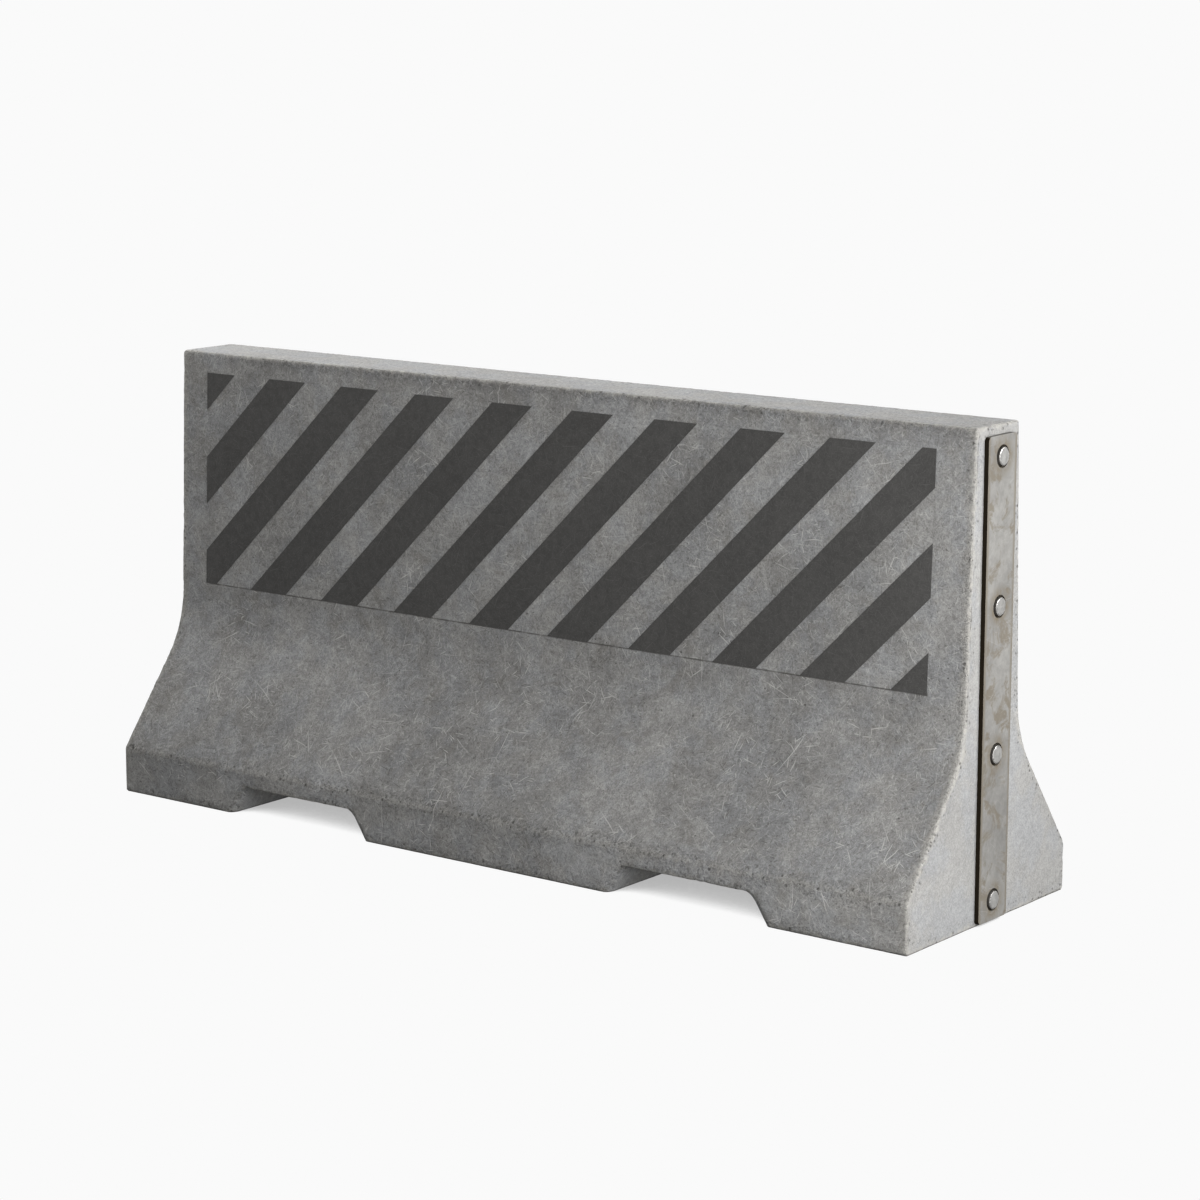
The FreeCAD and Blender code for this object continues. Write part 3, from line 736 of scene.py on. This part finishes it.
def cast_colour(shader, calm, topside, clouds, mottle, crumb, grain):
    """Greys of the cast faces: warm and cool patches, dirt and grit, sand on the top, and painted
    light on the ends.
    """
    cool = shader.ramp(shader.noise(0.09, detail=6, roughness=0.6, seed=9.0), 0.44, 0.58)
    stain = shader.ramp(shader.noise(0.026, detail=8, roughness=0.74, seed=13.0, bend=0.8),
                        0.52, 0.66)
    smudge = shader.ramp(shader.noise(0.085, detail=7, roughness=0.66, seed=57.0, bend=0.7),
                         0.52, 0.68)
    sand = shader.noise(0.008, detail=5, roughness=0.8, seed=61.0)

    colour = shader.blend(cool, WARM_GREY, COOL_GREY)
    varied = shader.math("ADD", shader.ramp(clouds, 0.3, 0.7, -0.15, 0.15),
                         shader.ramp(mottle, 0.3, 0.7, -0.13, 0.13))
    colour = shader.brighter(colour, shader.faded(varied, calm, 0.65))
    dirtied = shader.most(shader.product(stain, 0.42), shader.product(smudge, 0.45))
    colour = shader.blend(shader.faded(dirtied, calm, 0.8), colour, STAIN)
    gritty = shader.ramp(crumb, 0.25, 0.75, -0.27, 0.27)
    colour = shader.brighter(colour, shader.faded(gritty, calm, 0.45))
    colour = shader.uneven(colour, grain, 0.84, 1.16, reach=0.3)
    sandy = shader.ramp(sand, 0.35, 0.65, -0.20, 0.20)
    colour = shader.brighter(colour, shader.product(sandy, topside))
    # painted light: the end faces are made 5% paler, as if better lit
    end_face = shader.math("SUBTRACT", calm, topside)
    return shader.brighter(colour, shader.product(end_face, 0.05))


def scratched(shader, colour, lively, clouds, mottle):
    """The colour with pale scratches and dark strokes and specks."""
    flat = shader.add("UVMap", uv_map="unrolled")
    cluster = shader.ramp(shader.noise(0.10, detail=5, roughness=0.6, seed=21.0), 0.50, 0.64)
    specks = shader.ramp(shader.noise(0.0048, detail=3, roughness=0.6, seed=19.0), 0.60, 0.70)
    hairs = shader.most(shader.scratches(flat, 0.013, 0.014, 0.0009, 3.1, share=0.7),
                        shader.scratches(flat, 0.021, 0.024, 0.0010, 7.7, share=0.6))
    marks = shader.most(shader.scratches(flat, 0.024, 0.030, 0.0010, 11.3, share=0.75),
                        shader.scratches(flat, 0.031, 0.042, 0.0011, 51.7, share=0.70),
                        shader.scratches(flat, 0.055, 0.075, 0.0013, 19.9, share=0.75),
                        shader.scratches(flat, 0.100, 0.150, 0.0013, 27.1, share=0.55))
    strokes = shader.most(shader.scratches(flat, 0.016, 0.015, 0.0014, 33.7, share=0.5),
                          shader.scratches(flat, 0.034, 0.034, 0.0014, 39.1, share=0.4))

    stroke_share = shader.product(strokes, shader.ramp(clouds, 0.35, 0.62, 0.60, 0.20))
    dark_share = shader.most(stroke_share, shader.product(specks, 0.58))
    colour = shader.blend(shader.product(dark_share, lively), colour, DARK_MARKS_AND_SHADE)
    hair_share = shader.product(hairs, shader.ramp(mottle, 0.40, 0.62, 0.08, 0.50))
    mark_share = shader.product(marks, shader.plus(0.18, cluster, 0.52))
    pale_share = shader.most(hair_share, mark_share)
    return shader.blend(shader.product(pale_share, lively), colour, SCRATCH_WHITE)


def rubbed_arrises(shader, colour, lively, crumb, ragged, rubbed, to_arris):
    """The colour with pale rubbed arrises, their dirty borders, painted light on the foot and a
    painted shade line at the ground.
    """
    foot, foot_arris, ground, to_end = base_and_ends(shader)
    zone = shader.ramp(rubbed, 0.004, 0.024, 1.0, 0.0)
    inland = shader.ramp(to_end, 0.040, 0.200, 0.10, 1.0)
    shaded = shader.product(shader.faded(zone, foot_arris, 0.8), lively, inland,
                            shader.ramp(crumb, 0.42, 0.60, 1.0, 0.35))
    colour = shader.brighter(colour, shader.product(shaded, -0.20))
    # painted light: the foot face is made a quarter paler, as it gets little light
    colour = shader.brighter(colour, shader.product(foot, lively, 0.25))

    rim = shader.faded(shader.ramp(rubbed, 0.002, 0.010, 1.0, 0.0), foot_arris, 0.5)
    ragged_end = shader.math("ADD", shader.math("SUBTRACT", rubbed, to_arris), to_end)
    end_rim = shader.product(shader.ramp(ragged_end, 0.006, 0.024, 1.0, 0.0), lively, 0.85)
    pale = shader.product(shader.most(rim, end_rim), shader.ramp(crumb, 0.3, 0.6, 0.35, 0.95))
    colour = shader.blend(pale, colour, LAITANCE)
    near = shader.most(shader.ramp(rubbed, 0.002, 0.014, 1.0, 0.0), end_rim)
    speckled = shader.product(shader.ramp(crumb, 0.30, 0.70, -0.24, 0.24), near, lively)
    colour = shader.brighter(colour, speckled)
    # painted shade: a dark line along the ground, where the rounded bottom edge meets the floor
    ground_shade = shader.product(ground, shader.ramp(ragged, 0.35, 0.60, 0.15, 0.75))
    return shader.blend(ground_shade, colour, DARK_MARKS_AND_SHADE)


def voids(shader, lively, crumbling, ragged):
    """1 in the small round voids of the long faces and of the crumbling arrises."""
    face_voids = shader.product(shader.pits(0.0045, 0.024, 41.0, share=0.3), lively)
    arris_voids = shader.product(shader.pits(0.0080, 0.011, 43.0, share=0.75), crumbling,
                                 shader.ramp(ragged, 0.42, 0.54))
    return shader.most(face_voids, arris_voids)


def stripe_field(shader, colour):
    """The colour, a little paler inside the stripe field and with a broken dark line round it."""
    line, inside = field_lines(shader)
    broken = shader.ramp(shader.noise(0.025, detail=3, seed=47.0), 0.3, 0.6, 0.55, 1.0)
    colour = shader.brighter(colour, shader.product(inside, 0.045))
    return shader.blend(shader.product(line, broken, 0.85), colour, DARK_MARKS_AND_SHADE)


def concrete_relief(shader, mottle, crumb, grain, ragged, rough_arris, pits):
    """Height of the concrete: fine grit everywhere, broken and crumbled along the arrises."""
    height = shader.plus(shader.product(grain, GRAIN_RELIEF), crumb, CRUMB_RELIEF)
    height = shader.plus(height, mottle, MOTTLE_RELIEF)
    broken_edge = shader.product(shader.math("SUBTRACT", ragged, 0.5), rough_arris)
    height = shader.plus(height, broken_edge, BROKEN_EDGE_RELIEF)
    crumbled_edge = shader.product(shader.math("SUBTRACT", crumb, 0.5), rough_arris)
    height = shader.plus(height, crumbled_edge, CRUMBLED_EDGE_RELIEF)
    return shader.plus(height, pits, -PIT_RELIEF)


def concrete_material():
    """Worn cast concrete: lively long faces, calmer ends and top, crumbling arrises."""
    shader = material_shader("cast_concrete")
    calm, topside = flat_cast(shader)
    lively = shader.math("SUBTRACT", 1.0, calm)
    clouds = shader.noise(0.26, detail=6, roughness=0.58, seed=2.0)
    mottle = shader.noise(0.040, detail=7, roughness=0.68, seed=5.0, bend=0.4)
    crumb = shader.noise(0.0075, detail=4, roughness=0.72, seed=15.0, bend=1.2)
    grain = shader.noise(0.0030, detail=2, roughness=0.6, seed=17.0)
    ragged = shader.noise(0.020, detail=7, roughness=0.80, seed=31.0, bend=0.5)

    # distance to the nearest arris, made uneven at two scales
    to_arris = shader.add("Attribute", output="Fac", attribute_name="edge_distance")
    rubbed = shader.plus(to_arris, shader.math("SUBTRACT", ragged, 0.5), RAGGED_REACH)
    rubbed = shader.plus(rubbed, shader.math("SUBTRACT", crumb, 0.5), CRUMB_REACH)
    crumbling = shader.ramp(rubbed, 0.006, 0.032, 1.0, 0.0)
    pits = voids(shader, lively, crumbling, ragged)

    colour = cast_colour(shader, calm, topside, clouds, mottle, crumb, grain)
    colour = scratched(shader, colour, lively, clouds, mottle)
    colour = rubbed_arrises(shader, colour, lively, crumb, ragged, rubbed, to_arris)
    # dirt and painted shade: the voids are darkened toward near-black
    colour = shader.blend(shader.product(pits, 0.80), colour, DARK_MARKS_AND_SHADE)
    colour = stripe_field(shader, colour)
    rough_arris = shader.faded(crumbling, calm, 0.7)
    height = concrete_relief(shader, mottle, crumb, grain, ragged, rough_arris, pits)
    rough = shader.ramp(mottle, 0.3, 0.7, 0.92, 0.80)
    return shader.finish(colour, rough, height=height, specular=0.3)


# ---------------------------------------- paint, steel and the hidden parts

PAINT = (0.088, 0.086, 0.083)
PAINT_WORN = (0.21, 0.205, 0.20)


def paint_material():
    """Flat charcoal road paint with fine hair scratches."""
    shader = material_shader("stripe_paint")
    along, _, up = shader.parts(shader.place)
    flat = shader.add("CombineXYZ", inputs={0: along, 1: up})
    tone = shader.noise(0.20, detail=4, seed=3.0)
    mottle = shader.noise(0.018, detail=4, roughness=0.6, seed=6.0)
    grain = shader.noise(0.003, detail=2, seed=8.0)
    hairs = shader.most(shader.scratches(flat, 0.009, 0.011, 0.0006, 2.3),
                        shader.scratches(flat, 0.014, 0.018, 0.0007, 6.1))
    marks = shader.scratches(flat, 0.045, 0.055, 0.0008, 15.7, share=0.5)
    colour = shader.uneven(PAINT, tone, 0.94, 1.06)
    colour = shader.uneven(colour, mottle, 0.92, 1.08)
    colour = shader.uneven(colour, grain, 0.88, 1.12, reach=0.3)
    worn = shader.most(shader.product(hairs, 0.26), shader.product(marks, 0.34))
    colour = shader.blend(worn, colour, PAINT_WORN)
    height = shader.plus(shader.product(grain, 0.0002), mottle, 0.0004)
    height = shader.plus(height, shader.most(hairs, marks), -0.00008)
    rough = shader.ramp(mottle, 0.3, 0.7, 0.78, 0.68)
    return shader.finish(colour, rough, height=height, specular=0.25)


BOLT_RADIUS = (bolt_high.y - bolt_low.y) / 2
FIRST_BOLT = bolt_low.z + BOLT_RADIUS
LAST_BOLT = bolt_high.z - BOLT_RADIUS
BOLT_PITCH = (LAST_BOLT - FIRST_BOLT) / 3
# radius of the ring of painted shade and dirt round each bolt head
SHADE_AND_DIRT_RING_RADIUS = BOLT_RADIUS * 1.22
STEEL = (0.262, 0.256, 0.243)
STEEL_STAIN = (0.150, 0.125, 0.088)
STEEL_SCUFF = (0.620, 0.610, 0.580)
# near-black of painted shade with some grime, on the plate sides, round the bolts and on the bolt
# rims
GRIME_AND_SHADE_BLACK = (0.017, 0.013, 0.008)
BOLT_FACE = (0.340, 0.336, 0.324)
BOLT_RIM = (0.620, 0.610, 0.590)
BOLT_SCUFF = (0.300, 0.280, 0.250)
BAR_STEEL = (0.190, 0.175, 0.165)
BAR_RUST = (0.260, 0.105, 0.045)
ZINC = (0.550, 0.555, 0.550)
ZINC_FILM = (0.680, 0.680, 0.660)
SPACER_GREY = (0.240, 0.250, 0.260)
CEMENT_DUST = (0.500, 0.490, 0.470)


def from_bolt(shader):
    """Distance on the plate from the nearest bolt's axis."""
    _, across, up = shader.parts(shader.place)
    above = shader.math("SUBTRACT", up, FIRST_BOLT)
    nearest = shader.math("WRAP", above, BOLT_PITCH / 2, -BOLT_PITCH / 2)
    squares = shader.plus(shader.product(nearest, nearest), across, across)
    return shader.math("SQRT", squares)


def plate_browning(shader, across, ring, mottle):
    """1 where the plate is brown: run-off stains, round the bolts and along its edges."""
    stain = shader.ramp(shader.noise(0.060, detail=7, roughness=0.70, seed=12.0, bend=0.6),
                        0.49, 0.60)
    halo = shader.product(shader.ramp(ring, 0.021, 0.052, 1.0, 0.0),
                          shader.ramp(mottle, 0.35, 0.65, 0.25, 1.0))
    margin = shader.math("SUBTRACT", plate_high.y, shader.math("ABSOLUTE", across))
    margin = shader.plus(margin, mottle, -0.008)
    rim = shader.ramp(margin, -0.003, 0.008, 1.0, 0.0)
    return shader.most(shader.product(stain, 0.72), shader.product(halo, 0.95),
                       shader.product(rim, 0.75))


def plate_grime_and_shade(shader, ring, mottle):
    """1 where the plate is near-black: painted shade on its narrow sides, and painted shade with
    some dirt in the rings round the bolts.
    """
    facing, sideways, _ = shader.parts(shader.add("NewGeometry", output="True Normal"))
    # painted shade, with some dirt, in the sunk ring round each bolt head
    sunk = shader.ramp(shader.plus(ring, mottle, 0.002),
                       SHADE_AND_DIRT_RING_RADIUS - 0.0005, SHADE_AND_DIRT_RING_RADIUS + 0.002, 1.0, 0.0)
    # painted shade: the narrow sides are darkened by which way they face
    edgeways = shader.ramp(shader.math("ABSOLUTE", facing), 0.35, 0.75, 1.0, 0.0)
    flank = shader.ramp(shader.math("ABSOLUTE", sideways), 0.3, 0.7, 0.6, 1.0)
    return shader.most(shader.product(sunk, 0.95), shader.product(edgeways, flank))


def plate_material():
    """Mill-finish flat bar with brown run-off stains, painted shade on its edges and painted shade
    with dirt round the bolts.
    """
    shader = material_shader("plate_steel")
    _, across, up = shader.parts(shader.place)
    flat = shader.add("CombineXYZ", inputs={0: across, 1: up})
    ring = from_bolt(shader)
    clouds = shader.noise(0.09, detail=5, roughness=0.6, seed=4.0)
    mottle = shader.noise(0.014, detail=5, roughness=0.65, seed=7.0)
    scuffs = shader.most(shader.scratches(flat, 0.020, 0.022, 0.0005, 5.3, share=0.7),
                         shader.scratches(flat, 0.045, 0.060, 0.0006, 9.1, share=0.5))
    browned = plate_browning(shader, across, ring, mottle)
    grime_and_shade = plate_grime_and_shade(shader, ring, mottle)

    colour = shader.uneven(STEEL, clouds, 0.84, 1.18)
    colour = shader.uneven(colour, mottle, 0.90, 1.10)
    colour = shader.blend(browned, colour, STEEL_STAIN)
    colour = shader.blend(shader.product(scuffs, 0.22), colour, STEEL_SCUFF)
    # painted shade with some dirt: the sides and the bolt rings go near-black
    colour = shader.blend(grime_and_shade, colour, GRIME_AND_SHADE_BLACK)
    height = shader.plus(shader.product(scuffs, -0.00006), mottle, 0.0003)
    rough = shader.plus(shader.ramp(clouds, 0.3, 0.7, 0.60, 0.48), grime_and_shade, 0.35)
    metallic = shader.plus(0.25, shader.most(grime_and_shade, browned), -0.20)
    shine = shader.plus(0.35, grime_and_shade, -0.30)
    return shader.finish(colour, rough, metallic, height, shine)


def bolt_material():
    """Zinc-plated bolt heads, rubbed bright on the rim, scuffed on the face, with painted shade
    and some grime round the edge.
    """
    shader = material_shader("bolt_steel")
    ring = from_bolt(shader)
    clouds = shader.noise(0.010, detail=4, roughness=0.6, seed=3.0)
    mottle = shader.noise(0.003, detail=3, seed=5.0)
    _, across, up = shader.parts(shader.place)
    flat = shader.add("CombineXYZ", inputs={0: across, 1: up})
    scuffs = shader.scratches(flat, 0.007, 0.010, 0.0004, 4.4, share=0.8)
    turned_rim = shader.ramp(ring, 0.78 * BOLT_RADIUS, 0.84 * BOLT_RADIUS)
    colour = shader.blend(turned_rim, BOLT_FACE, BOLT_RIM)
    colour = shader.uneven(colour, clouds, 0.85, 1.15)
    colour = shader.blend(shader.product(scuffs, 0.3), colour, BOLT_SCUFF)
    # painted shade with some grime: the outer edge and side of each head go near-black
    ragged = shader.plus(ring, mottle, 0.06 * BOLT_RADIUS)
    rim_shade_and_grime = shader.ramp(ragged, 0.93 * BOLT_RADIUS, 0.99 * BOLT_RADIUS)
    colour = shader.blend(shader.product(rim_shade_and_grime, 0.95), colour, GRIME_AND_SHADE_BLACK)
    height = shader.plus(shader.product(scuffs, -0.0001), clouds, 0.0004)
    rough = shader.plus(shader.ramp(clouds, 0.3, 0.7, 0.38, 0.50), turned_rim, -0.18)
    rough = shader.plus(rough, rim_shade_and_grime, 0.6)
    clean_metal = shader.plus(0.35, turned_rim, 0.4)
    metallic = shader.product(clean_metal, shader.math("SUBTRACT", 1.0, rim_shade_and_grime))
    return shader.finish(colour, rough, metallic, height)


def bar_material():
    """Reinforcing steel with a thin uneven skin of rust."""
    shader = material_shader("bar_steel")
    rust = shader.ramp(shader.noise(0.03, detail=6, roughness=0.65, seed=2.0), 0.35, 0.62)
    scale = shader.noise(0.004, detail=4, roughness=0.7, seed=5.0)
    colour = shader.blend(rust, BAR_STEEL, BAR_RUST)
    colour = shader.uneven(colour, scale, 0.70, 1.25)
    rough = shader.ramp(rust, 0, 1, 0.55, 0.92)
    metallic = shader.ramp(rust, 0, 1, 0.8, 0.05)
    return shader.finish(colour, rough, metallic, shader.product(scale, 0.0005))


def socket_material():
    """Galvanised socket steel with pale zinc spangle."""
    shader = material_shader("socket_steel")
    spangle = shader.parts(shader.add("TexVoronoi", output="Color",
                                      inputs={"Vector": shader.place, "Scale": 160.0}))[0]
    film = shader.noise(0.015, detail=4, seed=3.0)
    colour = shader.uneven(ZINC, spangle, 0.80, 1.12, reach=0.5)
    colour = shader.blend(shader.ramp(film, 0.5, 0.75, 0.0, 0.5), colour, ZINC_FILM)
    rough = shader.ramp(film, 0.3, 0.7, 0.38, 0.62)
    return shader.finish(colour, rough, 0.85, shader.product(film, 0.0002))


def spacer_material():
    """Grey moulded plastic, with cement dust on it."""
    shader = material_shader("spacer_plastic")
    dust = shader.ramp(shader.noise(0.012, detail=5, seed=2.0), 0.4, 0.7)
    grain = shader.noise(0.0012, detail=1, seed=4.0)
    colour = shader.blend(shader.product(dust, 0.6), SPACER_GREY, CEMENT_DUST)
    rough = shader.ramp(dust, 0, 1, 0.45, 0.85)
    return shader.finish(colour, rough, height=shader.product(grain, 0.0001), specular=0.4)


# ---------------------------------------- stage, light and camera

BACKDROP_WHITE = 0.956
AIM_OFFSET = Vector((0.0278, 0.0771, 0.0188))
CAMERA_AZIMUTH = math.radians(37.62)
CAMERA_ELEVATION = math.radians(10.98)
CAMERA_DISTANCE = 7.2
CAMERA_LENS = 99.74
FLOOR_SIZE = 80.0
FLOOR_BOUNCE = 0.15
OPEN_SIDE = (0.30, -0.80, 0.52)
SHADE_REACH = 0.8
SLOT_SHADE = 0.45
SKY_STRENGTH = 0.12
SOFTBOX_WIDTH = 1.6
SOFT_LIGHTS = {
    "right_low": ((3.0, -1.1, 0.95), 73.0),
    "right_high": ((4.0, 1.45, 2.0), 88.0),
    "back_high": ((0.3, 1.8, 3.1), 75.0),
    "left_top": ((-1.3, 0.1, 2.3), 18.0),
    "left_end": ((-3.0, -0.2, 1.2), 22.0),
    "front_top": ((-0.2, -2.2, 2.4), 16.0),
}


def make_floor():
    """A pale floor that only darkens where the foot's slots shut out the light."""
    bpy.ops.mesh.primitive_plane_add(size=FLOOR_SIZE)
    floor = bpy.context.active_object
    floor.name = "floor"
    shader = material_shader("pale_floor")
    open_sky = shader.add("AmbientOcclusion", output="AO", samples=16,
                          inputs={"Distance": SHADE_REACH, "Normal": OPEN_SIDE})
    shade = shader.ramp(open_sky, 0.02, 0.22, SLOT_SHADE, 1.0)
    seen = shader.add("Emission", inputs={"Color": (1, 1, 1),
                                          "Strength": shader.product(shade, BACKDROP_WHITE)})
    bounce = shader.add("Emission", inputs={"Color": (1, 1, 1), "Strength": FLOOR_BOUNCE})
    camera_ray = shader.add("LightPath", output="Is Camera Ray")
    shader.end_with(shader.add("MixShader", inputs={0: camera_ray, 1: bounce, 2: seen}))
    floor.data.materials.append(shader.owner)


def make_world():
    """A white backdrop for the camera, and a dim even sky for the object."""
    world = bpy.data.worlds.new("studio")
    bpy.context.scene.world = world
    shader = Shader(world)
    light = shader.add("Background", inputs={"Color": (1, 1, 1), "Strength": SKY_STRENGTH})
    seen = shader.add("Background", inputs={"Color": (1, 1, 1), "Strength": BACKDROP_WHITE})
    camera_ray = shader.add("LightPath", output="Is Camera Ray")
    mixed = shader.add("MixShader", inputs={0: camera_ray, 1: light, 2: seen})
    shader.end_with(mixed, kind="World")


def placed(name, data, place, direction):
    """A light or camera at a place, looking in a direction."""
    piece = bpy.data.objects.new(name, data)
    bpy.context.scene.collection.objects.link(piece)
    piece.location = place
    piece.rotation_mode = "QUATERNION"
    piece.rotation_quaternion = direction.to_track_quat("-Z", "Y")
    return piece


def make_soft_light(name, place, power):
    """A round softbox aimed at the middle of the barrier."""
    data = bpy.data.lights.new(name, "AREA")
    data.shape = "DISK"
    data.size = SOFTBOX_WIDTH
    data.energy = power
    light = placed(name, data, place, (cad_low + cad_high) / 2 - Vector(place))
    light.visible_camera = False


def make_camera():
    """A long lens, from the front and the right, a little above the top of the barrier."""
    data = bpy.data.cameras.new("camera")
    data.lens = CAMERA_LENS
    back = Vector((math.sin(CAMERA_AZIMUTH) * math.cos(CAMERA_ELEVATION),
                   -math.cos(CAMERA_AZIMUTH) * math.cos(CAMERA_ELEVATION),
                   math.sin(CAMERA_ELEVATION)))
    aim = (cad_low + cad_high) / 2 + AIM_OFFSET
    bpy.context.scene.camera = placed("camera", data, aim + back * CAMERA_DISTANCE, -back)


# ---------------------------------------- assembly

casting = build_concrete()
wear_down(casting)
casting.data.materials.append(concrete_material())
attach(casting, "root")
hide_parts("concrete_body")

SIDES = ("right", "left")
dress(["hazard_stripes_front", "hazard_stripes_back"], paint_material())
dress([f"end_plate_{side}" for side in SIDES], plate_material())
dress([f"plate_bolts_{side}" for side in SIDES], bolt_material())
dress([f"anchor_sockets_{side}" for side in SIDES], socket_material())
dress([f"anchor_tails_{side}" for side in SIDES]
      + ["top_bars", "upper_wall_bars", "lower_wall_bars", "knee_bars", "shoulder_bars",
         "foot_corner_bars", "foot_inner_bars", "stem_links", "base_links"], bar_material())
dress(["stem_spacers", "base_spacers"], spacer_material())

make_floor()
make_world()
for name, (place, power) in SOFT_LIGHTS.items():
    make_soft_light(name, place, power)
make_camera()
bpy.context.scene.view_settings.view_transform = "Standard"
bpy.context.scene.view_settings.look = "None"
